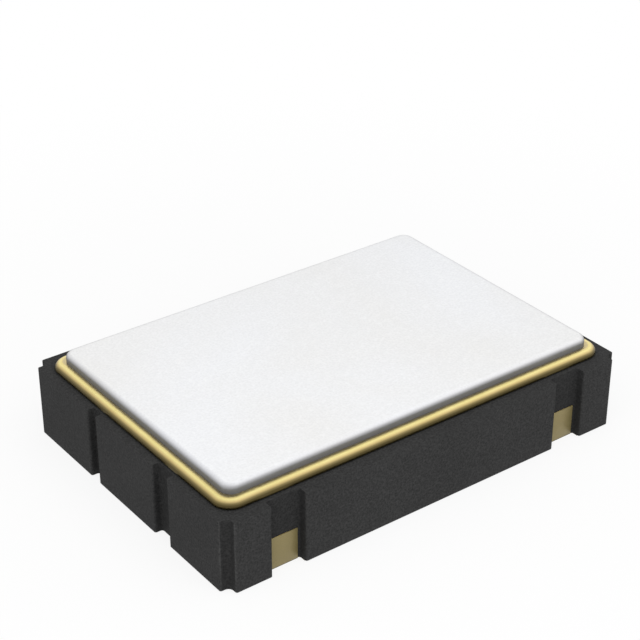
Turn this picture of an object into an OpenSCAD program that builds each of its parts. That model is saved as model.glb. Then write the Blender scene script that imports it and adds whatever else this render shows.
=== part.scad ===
// Surface-mount crystal oscillator in a ceramic package.
// The underside of the solder pads is z = 0, the origin is the middle of that
// underside, +X runs along the package and the index pad is at -X, +Y.

/* [Ceramic body] */
// Length of the body
body_len = 7.0; // [6.6:0.1:9]
// Width of the body
body_width = 5.0; // [4.8:0.1:7]
// Thickness of the ceramic layer under the chip
floor_t = 0.27; // [0.2:0.01:0.5]
// Thickness of the layer whose top carries the traces and bond lands
bond_layer_t = 0.21; // [0.16:0.01:0.3]
// Thickness of the layer whose top carries the crystal
crystal_layer_t = 0.20; // [0.16:0.02:0.3]
// Thickness of the uppermost layer, the wall round the crystal
wall_layer_t = 0.43; // [0.38:0.01:0.7]
// Wall between the cavity and each short end
end_wall = 0.65; // [0.55:0.05:0.8]
// Wall between the cavity and each long side
side_wall = 0.65; // [0.6:0.05:0.8]
// Corner radius of the cavity in plan
cavity_corner_r = 0.25; // [0.1:0.05:0.4]

/* [Notches] */
// Size of the square notch in each vertical corner
corner_notch = 0.15; // [0.15:0.01:0.25]
// Width of a castellation notch in a long side
cast_w = 0.54; // [0.4:0.02:0.8]
// Depth of a castellation notch
cast_depth = 0.15; // [0.12:0.01:0.25]
// Width of the wide notch in each short end
wide_notch_w = 0.36; // [0.3:0.02:0.6]
// Depth of the wide notch
wide_notch_depth = 0.12; // [0.12:0.01:0.25]
// Distance of the wide notch from the middle, towards -Y
wide_notch_offset = 0.95; // [0.6:0.01:1.4]
// Width of the narrow notch in each short end
narrow_notch_w = 0.21; // [0.2:0.01:0.4]
// Depth of the narrow notch
narrow_notch_depth = 0.12; // [0.12:0.01:0.25]
// Distance of the narrow notch from the middle, towards +Y
narrow_notch_offset = 0.82; // [0.6:0.01:1.4]
// Radius of the body's upright edges at a notch
mouth_r = 0.03; // [0.02:0.005:0.05]
// Radius of the inner corners of a side notch
notch_r = 0.035; // [0.02:0.005:0.06]
// Radius of the inner corner of a corner notch
corner_notch_r = 0.08; // [0.03:0.01:0.09]

/* [Solder pads and traces] */
// Thickness of the plated metal
metal_t = 0.01; // [0.01:0.005:0.04]
// Distance between the pads along the body
pad_pitch = 5.00; // [4.4:0.02:5.4]
// Length of a pad along the body
pad_len = 1.38; // [1:0.02:1.6]
// Width of a pad across the body
pad_width = 1.12; // [0.8:0.02:1.4]
// Bare ceramic between a pad and the long edge
pad_edge_gap = 0.04; // [0.02:0.01:0.1]
// Chamfer on the index pad
index_chamfer = 0.25; // [0.1:0.01:0.4]
// Width of a printed trace
trace_w = 0.15; // [0.1:0.01:0.2]
// Ceramic between the cavity and the buried run of a trace
trace_cover = 0.12; // [0.1:0.01:0.16]
// Length of a bond land
land_len = 0.30; // [0.2:0.02:0.4]
// Width of a bond land
land_width = 0.30; // [0.2:0.02:0.36]
// Bare shelf between the pit and a bond land
land_gap = 0.20; // [0.1:0.02:0.26]
// Diameter of the via under a crystal mount
via_d = 0.12; // [0.08:0.01:0.14]

/* [Seal ring and lid] */
// Setback of the ring from the short ends of the body
ring_inset_end = 0.14; // [0.08:0.01:0.2]
// Setback of the ring from the long sides of the body
ring_inset_side = 0.21; // [0.15:0.01:0.24]
// Width of the ring's band
ring_band = 0.39; // [0.34:0.01:0.4]
// Height of the ring
ring_h = 0.12; // [0.12:0.01:0.3]
// Outer corner radius of the ring
ring_corner_r = 0.28; // [0.2:0.02:0.5]
// Reach of the ring's rounded edge inwards along its top
ring_edge_reach = 0.14; // [0.06:0.01:0.14]
// Reach of the ring's rounded edge down its side
ring_edge_drop = 0.10; // [0.05:0.01:0.1]
// Radius of the ring's lower edge
ring_foot_r = 0.015; // [0.005:0.005:0.015]
// Inner corner radius of the ring
ring_inner_r = 0.15; // [0.1:0.01:0.4]
// Thickness of the braze under the ring
braze_t = 0.01; // [0.01:0.005:0.04]
// Setback of the braze from the ring's outer edge
braze_setback = 0.03; // [0.02:0.01:0.06]
// Thickness of the lid
lid_t = 0.15; // [0.1:0.01:0.2]
// Setback of the lid from the short ends of the body
lid_inset_end = 0.295; // [0.28:0.005:0.4]
// Setback of the lid from the long sides of the body
lid_inset_side = 0.365; // [0.35:0.005:0.45]
// Corner radius of the lid in plan
lid_corner_r = 0.18; // [0.12:0.02:0.5]
// Radius of the lid's upper edge
lid_edge_r = 0.08; // [0.03:0.01:0.09]

/* [Crystal] */
// Length of the quartz blank
blank_len = 4.80; // [4:0.1:5]
// Width of the quartz blank
blank_width = 1.80; // [1.6:0.1:2.4]
// Thickness of the quartz blank
blank_t = 0.08; // [0.04:0.01:0.16]
// Length of an electrode's field
electrode_len = 2.40; // [1.8:0.1:2.8]
// Width of an electrode's field
electrode_width = 1.30; // [1:0.1:1.5]
// Thickness of an electrode
electrode_t = 0.012; // [0.01:0.001:0.02]
// Width of an electrode's tail
tail_w = 0.46; // [0.4:0.02:0.5]
// Distance between the two crystal mounts
mount_pitch = 1.10; // [1:0.02:1.2]
// Size of a square mount pad
mount_pad = 0.54; // [0.46:0.02:0.6]
// Distance of the mounts from the cavity's end
mount_setback = 0.55; // [0.45:0.01:0.7]
// Reach of the blank past the middle of its mounts
blank_overhang = 0.26; // [0.22:0.01:0.32]
// Shelf between a mount pad and the shelf's edge
shelf_margin = 0.26; // [0.1:0.02:0.3]
// Diameter of an adhesive dot
adhesive_d = 0.42; // [0.3:0.02:0.44]
// Height of an adhesive dot
adhesive_t = 0.05; // [0.04:0.005:0.08]
// Reach of the blank's free end over the far shelf
rest_overlap = 0.25; // [0.15:0.01:0.35]
// Length of the bump under the free end
bump_len = 0.10; // [0.06:0.01:0.12]
// Width of the bump under the free end
bump_width = 0.90; // [0.6:0.05:1.4]
// Clearance between the bump and the blank
bump_gap = 0.04; // [0.02:0.005:0.05]

/* [Chip and bond wires] */
// Length of the chip
die_len = 1.20; // [1:0.05:1.4]
// Width of the chip
die_width = 0.90; // [0.8:0.05:1.1]
// Thickness of the chip
die_t = 0.15; // [0.1:0.01:0.2]
// Thickness of the epoxy under the chip
epoxy_t = 0.02; // [0.01:0.005:0.03]
// Reach of the epoxy round the chip
epoxy_rim = 0.04; // [0.02:0.01:0.08]
// Reach of the die pad round the chip
die_pad_rim = 0.12; // [0.1:0.01:0.2]
// Clear floor between the chip and the pit's wall
pit_gap = 0.50; // [0.3:0.02:0.54]
// Corner radius of the pit
pit_corner_r = 0.10; // [0.05:0.01:0.2]
// Size of a square bond pad on the chip
bond_pad = 0.09; // [0.07:0.01:0.12]
// Thickness of a bond pad
bond_pad_t = 0.01; // [0.008:0.001:0.02]
// Distance from a bond pad's middle to the chip's edge
bond_pad_inset = 0.10; // [0.08:0.01:0.14]
// Distance between the bond pads on a long edge of the chip
bond_pad_pitch = 0.70; // [0.5:0.02:0.8]
// Distance between the bond lands on a long side of the pit
land_pitch = 1.20; // [0.8:0.02:1.6]
// Distance between the crystal's bond pads on the chip
crystal_pad_pitch = 0.30; // [0.24:0.02:0.5]
// Distance between the crystal's bond lands
crystal_land_pitch = 0.70; // [0.6:0.02:1]
// Diameter of a bond wire
wire_d = 0.025; // [0.018:0.001:0.035]
// Rise of a bond wire's loop above its ends
loop_h = 0.11; // [0.08:0.01:0.14]
// Diameter of the ball at a bond wire's first end
ball_d = 0.06; // [0.05:0.005:0.07]
// Thickness of the ball, and of the stitch at the other end
ball_t = 0.012; // [0.01:0.001:0.02]

/* [Hidden] */

// Cutters pass this far beyond the face they open
cut = 0.1;
// Straight pieces in a quarter turn of a plan outline
corner_steps = 8;
mouth_steps = 4;
round_fn = 48;
wire_sides = 8;
wire_steps = 10;

// Heights of the ceramic layers, from the pads up
base_z = metal_t;
floor_z = base_z + floor_t;
bond_z = floor_z + bond_layer_t;
crystal_z = bond_z + crystal_layer_t;
rim_z = crystal_z + wall_layer_t;
ring_z = rim_z + braze_t;
lid_z = ring_z + ring_h;

// Cavity and castellations in plan
cavity_len = body_len - 2*end_wall;
cavity_width = body_width - 2*side_wall;
cast_x = pad_pitch/2;
cast_y = body_width/2 - cast_depth;
strip_w = cast_w - 2*notch_r;
strip_top = bond_z + metal_t;
strip_root = pad_width/4;
trace_run_y = cavity_width/2 + trace_cover + trace_w/2;

// Crystal, from its mounts at -X to its free end
mount_x = -cavity_len/2 + mount_setback;
mount_y = mount_pitch/2;
mount_top = crystal_z + metal_t;
blank_x = mount_x - blank_overhang;
blank_end = blank_x + blank_len;
blank_z = mount_top + adhesive_t + electrode_t;
blank_mid = blank_x + blank_len/2;
shelf_edge = mount_x + mount_pad/2 + shelf_margin;
rest_edge = blank_end - rest_overlap;
bump_top = blank_z - bump_gap;

// Chip, in the middle of the opening between the two shelves
die_x = (shelf_edge + rest_edge)/2;
die_z = floor_z + metal_t + epoxy_t;
die_top = die_z + die_t;
pit_len = die_len + 2*pit_gap;
pit_width = die_width + 2*pit_gap;
land_top = bond_z + metal_t;
side_land_y = pit_width/2 + land_gap + land_width/2;
crystal_land_x = die_x - pit_len/2 - land_gap - land_len/2;

// Ends of the bond wires: [place on the chip, place on the land]
function side_wire(sx, sy) =
    [[die_x + sx*bond_pad_pitch/2, sy*(die_width/2 - bond_pad_inset)],
     [die_x + sx*land_pitch/2, sy*side_land_y]];
function crystal_wire(sy) =
    [[die_x - die_len/2 + bond_pad_inset, sy*crystal_pad_pitch/2],
     [crystal_land_x, sy*crystal_land_pitch/2]];
ENABLE = side_wire(-1, 1);
GROUND = side_wire(-1, -1);
OUTPUT = side_wire(1, -1);
SUPPLY = side_wire(1, 1);
CRYSTAL_A = crystal_wire(1);
CRYSTAL_B = crystal_wire(-1);

// ---- Plan outlines ----

function ellipse_arc(centre, rx, ry, from, to, steps) =
    [for (i = [0:steps]) let (a = from + (to - from)*i/steps)
        centre + [rx*cos(a), ry*sin(a)]];

function arc(centre, r, from, to, steps) = ellipse_arc(centre, r, r, from, to, steps);

function rounded_rect(len, width, r) =
    [for (k = [0:3]) let (sx = (k == 0 || k == 3) ? 1 : -1, sy = k < 2 ? 1 : -1)
        each arc([sx*(len/2 - r), sy*(width/2 - r)], r, 90*k, 90*k + 90, corner_steps)];

// One side of the body is drawn as [along the side, inwards from its face].
// A notch is [place along the side, width, depth].
function notch_path(n) =
    let (left = n[0] - n[1]/2, right = n[0] + n[1]/2, deep = n[2] - notch_r)
    concat(arc([left - mouth_r, mouth_r], mouth_r, -90, 0, mouth_steps),
           arc([left + notch_r, deep], notch_r, 180, 90, mouth_steps),
           arc([right - notch_r, deep], notch_r, 90, 0, mouth_steps),
           arc([right + mouth_r, mouth_r], mouth_r, 180, 270, mouth_steps));

function corner_path(half) =
    let (wall = half - corner_notch, deep = corner_notch - corner_notch_r)
    concat(arc([wall - mouth_r, mouth_r], mouth_r, -90, 0, mouth_steps),
           arc([wall + corner_notch_r, deep], corner_notch_r, 180, 90, corner_steps),
           arc([half - mouth_r, corner_notch + mouth_r], mouth_r, -90, 0, mouth_steps));

function side_path(half, notches) =
    [for (n = notches) each notch_path(n), each corner_path(half)];

function turned(points, quarter, offset) =
    [for (p = points) let (v = p[1] - offset, c = cos(90*quarter), s = sin(90*quarter))
        [p[0]*c - v*s, p[0]*s + v*c]];

castellations = [for (sx = [-1, 1]) [sx*cast_x, cast_w, cast_depth]];
wide = [wide_notch_w, wide_notch_depth];
narrow = [narrow_notch_w, narrow_notch_depth];
body_outline = concat(
    turned(side_path(body_len/2, castellations), 0, body_width/2),
    turned(side_path(body_width/2, [concat(-wide_notch_offset, wide),
                                    concat(narrow_notch_offset, narrow)]), 1, body_len/2),
    turned(side_path(body_len/2, castellations), 2, body_width/2),
    turned(side_path(body_width/2, [concat(-narrow_notch_offset, narrow),
                                    concat(wide_notch_offset, wide)]), 3, body_len/2));

// ---- Building blocks ----

module prism(points, z0, z1)
    translate([0, 0, z0]) linear_extrude(z1 - z0) polygon(points);

module block(x0, x1, y0, y1, z0, z1)
    translate([x0, y0, z0]) cube([x1 - x0, y1 - y0, z1 - z0]);

// A flat bar between two points that share an x or a y
module bar(p, q, w, z0, z1)
    block(min(p[0], q[0]) - w/2, max(p[0], q[0]) + w/2,
          min(p[1], q[1]) - w/2, max(p[1], q[1]) + w/2, z0, z1);

// Section of a plate's rim, from its outer edge inwards to reach. The upper edge is rounded
// over top = [inwards, downwards] and the lower edge over the radius foot.
function rim_section(reach, h, top, foot) = concat(
    foot > 0 ? arc([foot, foot], foot, 270, 180, mouth_steps) : [[0, 0]],
    ellipse_arc([top[0], h - top[1]], top[0], top[1], 180, 90, corner_steps),
    [[reach, h], [reach, 0]]);

// A plate with round corners and the rim above
module rounded_plate(len, width, h, corner_r, top, foot) {
    section = rim_section(corner_r, h, top, foot);
    for (side = [0:3]) {
        along = side % 2 == 0 ? len : width;
        across = side % 2 == 0 ? width : len;
        rotate(90*side) {
            translate([-(along/2 - corner_r), -across/2, 0])
                rotate([90, 0, 90]) linear_extrude(along - 2*corner_r) polygon(section);
            translate([along/2 - corner_r, -across/2 + corner_r, 0])
                rotate(-90) rotate_extrude(angle = 90, $fn = round_fn)
                    polygon([for (p = section) [corner_r - p[0], p[1]]]);
        }
    }
    block(-len/2 + corner_r, len/2 - corner_r, -width/2 + corner_r, width/2 - corner_r, 0, h);
}

// ---- Ceramic ----

module cavity() {
    prism(rounded_rect(cavity_len, cavity_width, cavity_corner_r), crystal_z, rim_z + cut);
    middle_len = rest_edge - shelf_edge;
    translate([die_x, 0, 0]) {
        prism(rounded_rect(middle_len, cavity_width, cavity_corner_r), bond_z, crystal_z + cut/2);
        prism(rounded_rect(pit_len, pit_width, pit_corner_r), floor_z, bond_z + cut/2);
    }
}

module ceramic_base() color("#3a3a3b") {
    difference() {
        prism(body_outline, base_z, rim_z);
        cavity();
        for (sx = [-1, 1], sy = [-1, 1])
            side_trace_body(sx, sy);
        for (sy = [-1, 1])
            crystal_trace_body(sy);
    }
    block(rest_edge, rest_edge + bump_len, -bump_width/2, bump_width/2, crystal_z, bump_top);
}

// ---- Solder pads, traces and lands ----

module solder_pad(sx, sy, chamfer)
    mirror([sx < 0 ? 1 : 0, 0, 0]) mirror([0, sy < 0 ? 1 : 0, 0]) {
        inner = cast_x - pad_len/2;
        outer = cast_x + pad_len/2;
        far = body_width/2 - pad_edge_gap;
        near = far - pad_width;
        linear_extrude(metal_t) intersection() {
            polygon([[inner + chamfer, near], [outer, near], [outer, far],
                     [inner, far], [inner, near + chamfer]]);
            polygon(body_outline);
        }
        // The strip up the castellation, and its root in the pad
        for (run = [[0, strip_top], [strip_root, metal_t]])
            block(cast_x - strip_w/2, cast_x + strip_w/2, cast_y - run[0], cast_y + metal_t,
                  0, run[1]);
    }

module pad_1() color("#e8cf88") solder_pad(-1, 1, index_chamfer);
module pad_2() color("#e8cf88") solder_pad(-1, -1, 0);
module pad_3() color("#e8cf88") solder_pad(1, -1, 0);
module pad_4() color("#e8cf88") solder_pad(1, 1, 0);

// From the castellation, along the wall between two layers, to a land on the bond shelf
module side_trace_body(sx, sy) {
    land = sy > 0 ? (sx > 0 ? SUPPLY[1] : ENABLE[1]) : (sx > 0 ? OUTPUT[1] : GROUND[1]);
    run_y = sy*trace_run_y;
    block(land[0] - land_len/2, land[0] + land_len/2, land[1] - land_width/2, land[1] + land_width/2,
          bond_z, land_top);
    bar(land, [land[0], run_y], trace_w, bond_z, land_top);
    bar([land[0], run_y], [sx*cast_x, run_y], trace_w, bond_z, land_top);
    block(sx*cast_x - trace_w/2, sx*cast_x + trace_w/2,
          sy > 0 ? run_y : -cast_y, sy > 0 ? cast_y : run_y, bond_z, land_top);
}

module enable_trace() color("#d9b75c") side_trace_body(-1, 1);
module ground_trace() color("#d9b75c") side_trace_body(-1, -1);
module output_trace() color("#d9b75c") side_trace_body(1, -1);
module supply_trace() color("#d9b75c") side_trace_body(1, 1);

// From a land on the bond shelf, under the crystal shelf, up a via to a mount pad
module crystal_trace_body(sy) {
    land = sy > 0 ? CRYSTAL_A[1] : CRYSTAL_B[1];
    block(land[0] - land_len/2, land[0] + land_len/2, land[1] - land_width/2, land[1] + land_width/2,
          bond_z, land_top);
    bar(land, [mount_x, land[1]], trace_w, bond_z, land_top);
    bar([mount_x, land[1]], [mount_x, sy*mount_y], trace_w, bond_z, land_top);
    translate([mount_x, sy*mount_y, bond_z])
        cylinder(d = via_d, h = crystal_layer_t, $fn = round_fn);
    translate([0, sy*mount_y, 0])
        block(mount_x - mount_pad/2, mount_x + mount_pad/2, -mount_pad/2, mount_pad/2,
              crystal_z, mount_top);
}

module crystal_trace_a() color("#d9b75c") crystal_trace_body(1);
module crystal_trace_b() color("#d9b75c") crystal_trace_body(-1);

// ---- Ring and lid ----

ring_len = body_len - 2*ring_inset_end;
ring_width = body_width - 2*ring_inset_side;
ring_opening = rounded_rect(ring_len - 2*ring_band, ring_width - 2*ring_band, ring_inner_r);

module ring_braze() color("#c9a54e") difference() {
    prism(rounded_rect(ring_len - 2*braze_setback, ring_width - 2*braze_setback,
                       ring_corner_r - braze_setback), rim_z, ring_z);
    prism(ring_opening, rim_z - cut, ring_z + cut);
}

module seal_ring() color("#e2c46f") difference() {
    translate([0, 0, ring_z])
        rounded_plate(ring_len, ring_width, ring_h, ring_corner_r,
                      [ring_edge_reach, ring_edge_drop], ring_foot_r);
    prism(ring_opening, ring_z - cut, lid_z + cut);
}

module lid() color("#ececef") translate([0, 0, lid_z])
    rounded_plate(body_len - 2*lid_inset_end, body_width - 2*lid_inset_side, lid_t,
                  lid_corner_r, [lid_edge_r, lid_edge_r], 0);

// ---- Chip ----

module die_layer(rim, z0, z1)
    block(die_x - die_len/2 - rim, die_x + die_len/2 + rim, -die_width/2 - rim, die_width/2 + rim,
          z0, z1);

module die_pad() color("#d9b75c") die_layer(die_pad_rim, floor_z, floor_z + metal_t);
module die_epoxy() color("#b9b9bd") die_layer(epoxy_rim, floor_z + metal_t, die_z);
module oscillator_die() color("#4d5560") die_layer(0, die_z, die_top);

module die_bond_pads() color("#cfd2d6")
    for (wire = [ENABLE, GROUND, OUTPUT, SUPPLY, CRYSTAL_A, CRYSTAL_B])
        translate([wire[0][0], wire[0][1], 0])
            block(-bond_pad/2, bond_pad/2, -bond_pad/2, bond_pad/2, die_top, die_top + bond_pad_t);

// ---- Bond wires ----

// The loop leaves its ball straight up and comes down upright on its stitch.
function loop_point(ends, z0, z1, a) =
    let (t = (1 - cos(a))/2, p = ends[0] + t*(ends[1] - ends[0]))
    [p[0], p[1], z0 + t*(z1 - z0) + loop_h*sin(a)];

module bond_wire(ends) {
    z0 = die_top + bond_pad_t + ball_t;
    z1 = land_top + ball_t;
    span = norm(ends[1] - ends[0]);
    along = (ends[1] - ends[0])/span;
    side = [-along[1], along[0], 0];
    rings = [for (i = [0:wire_steps])
        let (a = 180*i/wire_steps, rise = loop_h*cos(a) + (z1 - z0)*sin(a)/2,
             run = span*sin(a)/2, slope = norm([run, rise]),
             normal = [rise*along[0], rise*along[1], -run]/slope)
        each [for (k = [0:wire_sides - 1]) let (b = 360*k/wire_sides)
            loop_point(ends, z0, z1, a) + wire_d/2*(cos(b)*normal + sin(b)*side)]];
    last = wire_steps*wire_sides;
    walls = [for (i = [0:wire_steps - 1], k = [0:wire_sides - 1])
        let (n = (k + 1) % wire_sides, low = i*wire_sides, high = low + wire_sides)
        each [[low + k, low + n, high + n], [low + k, high + n, high + k]]];
    polyhedron(rings, concat(walls, [[for (k = [wire_sides - 1:-1:0]) k]],
                             [[for (k = [0:wire_sides - 1]) last + k]]));
    for (end = [[ends[0], z0], [ends[1], z1]])
        translate([end[0][0], end[0][1], end[1] - ball_t])
            cylinder(d = ball_d, h = ball_t, $fn = 12);
}

module bond_wire_enable() color("#f0cf6a") bond_wire(ENABLE);
module bond_wire_ground() color("#f0cf6a") bond_wire(GROUND);
module bond_wire_output() color("#f0cf6a") bond_wire(OUTPUT);
module bond_wire_supply() color("#f0cf6a") bond_wire(SUPPLY);
module bond_wire_crystal_a() color("#f0cf6a") bond_wire(CRYSTAL_A);
module bond_wire_crystal_b() color("#f0cf6a") bond_wire(CRYSTAL_B);

// ---- Crystal ----

module adhesive_dot(sy)
    translate([mount_x, sy*mount_y, mount_top]) cylinder(d = adhesive_d, h = adhesive_t, $fn = round_fn);

module crystal_adhesive_a() color("#a9a9ad") adhesive_dot(1);
module crystal_adhesive_b() color("#a9a9ad") adhesive_dot(-1);

module crystal_blank() color("#dfe6ea")
    block(blank_x, blank_end, -blank_width/2, blank_width/2, blank_z, blank_z + blank_t);

// The field in the middle of a face and the tail that runs to a mount
module electrode_film(sy, z) {
    block(blank_mid - electrode_len/2, blank_mid + electrode_len/2,
          -electrode_width/2, electrode_width/2, z, z + electrode_t);
    block(blank_x, blank_mid - electrode_len/2, sy*mount_y - tail_w/2, sy*mount_y + tail_w/2,
          z, z + electrode_t);
}

module bottom_electrode() color("#dfe2e6") electrode_film(1, blank_z - electrode_t);

// The upper tail folds over the end of the blank and back under it to its mount
module top_electrode() color("#dfe2e6") {
    top = blank_z + blank_t;
    y0 = -mount_y - tail_w/2;
    electrode_film(-1, top);
    block(blank_x - electrode_t, blank_x, y0, y0 + tail_w, blank_z - electrode_t, top + electrode_t);
    block(blank_x, mount_x + tail_w/2, y0, y0 + tail_w, blank_z - electrode_t, blank_z);
}

ceramic_base();
pad_1();
pad_2();
pad_3();
pad_4();
enable_trace();
ground_trace();
output_trace();
supply_trace();
crystal_trace_a();
crystal_trace_b();
ring_braze();
seal_ring();
lid();
die_pad();
die_epoxy();
oscillator_die();
die_bond_pads();
bond_wire_enable();
bond_wire_ground();
bond_wire_output();
bond_wire_supply();
bond_wire_crystal_a();
bond_wire_crystal_b();
crystal_adhesive_a();
crystal_adhesive_b();
crystal_blank();
top_electrode();
bottom_electrode();
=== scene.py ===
"""Dresses a surface-mount crystal oscillator in a ceramic package.

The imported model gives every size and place. The outer pieces are rebuilt here with
soft edges, the bond wires and bond pads are made by Geometry Nodes, and each piece
gets a finish of its own. Lengths are in millimetres until a mesh is finished.
"""

import logging
import math
from dataclasses import dataclass, field
from enum import Enum
from typing import Callable, Iterable, Sequence

import bmesh
import bpy
from mathutils import Euler, Matrix, Vector

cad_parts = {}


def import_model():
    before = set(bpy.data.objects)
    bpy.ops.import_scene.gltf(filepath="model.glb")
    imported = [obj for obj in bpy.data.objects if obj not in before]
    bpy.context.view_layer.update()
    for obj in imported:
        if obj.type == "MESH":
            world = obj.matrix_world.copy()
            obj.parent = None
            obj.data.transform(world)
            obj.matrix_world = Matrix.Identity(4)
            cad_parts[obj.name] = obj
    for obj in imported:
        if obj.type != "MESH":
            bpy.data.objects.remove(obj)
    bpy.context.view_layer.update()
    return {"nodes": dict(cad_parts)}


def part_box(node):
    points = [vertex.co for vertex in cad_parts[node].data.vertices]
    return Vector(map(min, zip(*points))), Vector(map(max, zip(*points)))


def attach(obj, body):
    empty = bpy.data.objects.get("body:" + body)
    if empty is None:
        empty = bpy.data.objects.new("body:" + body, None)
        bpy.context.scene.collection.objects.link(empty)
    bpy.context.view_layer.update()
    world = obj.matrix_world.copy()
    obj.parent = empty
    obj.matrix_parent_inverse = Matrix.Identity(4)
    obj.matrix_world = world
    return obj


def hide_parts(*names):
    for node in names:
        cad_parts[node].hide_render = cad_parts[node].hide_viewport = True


LOG = logging.getLogger("oscillator")
MM = 0.001
ROOT = "root"

Rgb = tuple[float, float, float]
Point = tuple[float, float, float]
Group = bpy.types.NodeTree
Material = bpy.types.Material
Node = bpy.types.Node
Object = bpy.types.Object
Socket = bpy.types.NodeSocket
Sockets = bpy.types.bpy_prop_collection

WHITE: Rgb = (1.0, 1.0, 1.0)


class Slot(Enum):
    """The material slots."""

    CERAMIC = "black_ceramic"
    PAD = "pad_gold"
    TRACE = "trace_gold"
    BRAZE = "braze_alloy"
    RING = "ring_gold"
    LID = "lid_nickel"
    ADHESIVE = "silver_adhesive"
    SILICON = "silicon"
    BOND_PAD = "bond_pad_metal"
    WIRE = "wire_gold"
    QUARTZ = "quartz"
    ELECTRODE = "electrode_silver"


# ---- Nodes ----


class TreeKind(Enum):
    """The two kinds of node group."""

    SHADER = "ShaderNodeTree"
    GEOMETRY = "GeometryNodeTree"


class Mixed(Enum):
    """What a Mix node makes: its data type, its blend type and its sockets' ending."""

    COLOUR = ("RGBA", "MIX", "Color")
    PRODUCT = ("RGBA", "MULTIPLY", "Color")
    VECTOR = ("VECTOR", "MIX", "Vector")
    NUMBER = ("FLOAT", "MIX", "Float")


class Tree:
    """A node tree with short calls to add and join its nodes."""

    def __init__(self, tree: Group) -> None:
        """Wraps a shader or geometry tree."""
        self.tree = tree

    def add(self, kind: str, inputs: dict | None = None, **settings: object) -> Node:
        """Adds one node.

        Args:
            kind: the node's type name.
            inputs: a value or an output socket for each input, by name or number.
            settings: attributes of the node itself.

        Returns:
            The new node.
        """
        node = self.tree.nodes.new(kind)
        for name, value in settings.items():
            setattr(node, name, value)
        self.fill(node, inputs or {})
        return node

    def first(self, kind: str, inputs: dict | None = None, **settings: object) -> Socket:
        """Adds one node as add does and returns its first output."""
        return self.add(kind, inputs, **settings).outputs[0]

    def fill(self, node: Node, inputs: dict) -> None:
        """Sets or joins inputs of a node, which are given by name or number."""
        for name, value in inputs.items():
            self.feed(node.inputs[name], value)

    def feed(self, socket: Socket, value: object) -> None:
        """Sets or joins one input.

        Args:
            socket: the input.
            value: an output socket or a plain value. A colour has three channels.
        """
        if isinstance(value, Socket):
            self.tree.links.new(value, socket)
        else:
            socket.default_value = (*value, 1.0) if socket.type == "RGBA" else value

    def group(self, made: Group, **inputs: object) -> Sockets:
        """Places a shared group with its own values and returns its outputs."""
        return self.add("ShaderNodeGroup", inputs, node_tree=made).outputs

    def give(self, **outputs: Socket) -> Group:
        """Ends a group with its outputs and returns it."""
        self.add("NodeGroupOutput", outputs)
        return self.tree

    def place(self) -> Socket:
        """Returns the point's place on its piece."""
        return self.add("ShaderNodeTexCoord").outputs["Object"]

    def axes(self, vector: Socket) -> Sockets:
        """Returns the outputs X, Y and Z of a vector."""
        return self.add("ShaderNodeSeparateXYZ", {"Vector": vector}).outputs

    def math(self, operation: str, *values: object, clamp: bool = False) -> Socket:
        """Adds a Math node on one to three values and returns its output."""
        inputs = dict(enumerate(values))
        return self.first("ShaderNodeMath", inputs, operation=operation, use_clamp=clamp)

    def span(self, value: Socket, source: Sequence[object] = (0.0, 1.0),
             target: Sequence[object] = (0.0, 1.0), **settings: object) -> Socket:
        """Maps a value from one range to another.

        Args:
            value: the value.
            source: the ends of its own range.
            target: what these ends become.
            settings: attributes of the Map Range node.

        Returns:
            The mapped value.
        """
        names = ("Value", "From Min", "From Max", "To Min", "To Max")
        inputs = dict(zip(names, (value, *source, *target)))
        return self.first("ShaderNodeMapRange", inputs, **settings)

    def mix(self, factor: object, a: object, b: object, kind: Mixed = Mixed.COLOUR) -> Socket:
        """Mixes two colours, vectors or numbers.

        Args:
            factor: 0 for a, 1 for b, or for their product.
            a: the first of the two.
            b: the second.
            kind: what they are and what is made of them.

        Returns:
            The result.
        """
        data_type, blend_type, ending = kind.value
        node = self.add("ShaderNodeMix", data_type=data_type, blend_type=blend_type)
        for name, value in (("Factor_Float", factor), (f"A_{ending}", a), (f"B_{ending}", b)):
            self.feed(next(s for s in node.inputs if s.identifier == name), value)
        return next(s for s in node.outputs if s.identifier == f"Result_{ending}")


def socket_type(value: object) -> str:
    """Names the type of a group's input after its first value.

    Args:
        value: a number, a vector, a colour with alpha, or None for geometry.

    Returns:
        The type's name.
    """
    if isinstance(value, tuple):
        return "NodeSocketVector" if len(value) == 3 else "NodeSocketColor"
    plain = {float: "NodeSocketFloat", int: "NodeSocketInt"}
    return plain.get(type(value), "NodeSocketGeometry")


def group_tree(name: str, inputs: dict[str, object], *outputs: str,
               kind: TreeKind = TreeKind.SHADER) -> tuple[Tree, Sockets]:
    """Starts a node group.

    Args:
        name: the group's name.
        inputs: the first value of each input, or None for geometry.
        outputs: the outputs' names. Color and Geometry are what they are called, and
            any other is a number.
        kind: the kind of group.

    Returns:
        The tree, and what its inputs give.
    """
    tree = bpy.data.node_groups.new(name, kind.value)
    for label, value in inputs.items():
        made = tree.interface.new_socket(label, in_out="INPUT", socket_type=socket_type(value))
        if value is not None:
            made.default_value = value
    for label in outputs:
        sort = label if label in ("Color", "Geometry") else "Float"
        tree.interface.new_socket(label, in_out="OUTPUT", socket_type=f"NodeSocket{sort}")
    return Tree(tree), tree.nodes.new("NodeGroupInput").outputs


def new_material(name: str) -> tuple[Material, Tree, Node]:
    """Starts a material.

    Args:
        name: its name.

    Returns:
        The material, its tree and its Principled shader.
    """
    material = bpy.data.materials.new(name)
    material.use_nodes = True
    return material, Tree(material.node_tree), material.node_tree.nodes["Principled BSDF"]


# The curve between display values and light.
KNEE, SLOPE, SHIFT, POWER = 0.04045, 12.92, 0.055, 2.4


def tone(red: float, green: float, blue: float) -> Rgb:
    """Turns a display colour into the linear one that shaders use.

    Args:
        red: its display value, from 0 to 255.
        green: its display value, from 0 to 255.
        blue: its display value, from 0 to 255.

    Returns:
        The linear colour.
    """
    shares = (channel / 255 for channel in (red, green, blue))
    return tuple(s / SLOPE if s <= KNEE else ((s + SHIFT) / (1 + SHIFT)) ** POWER
                 for s in shares)


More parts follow.
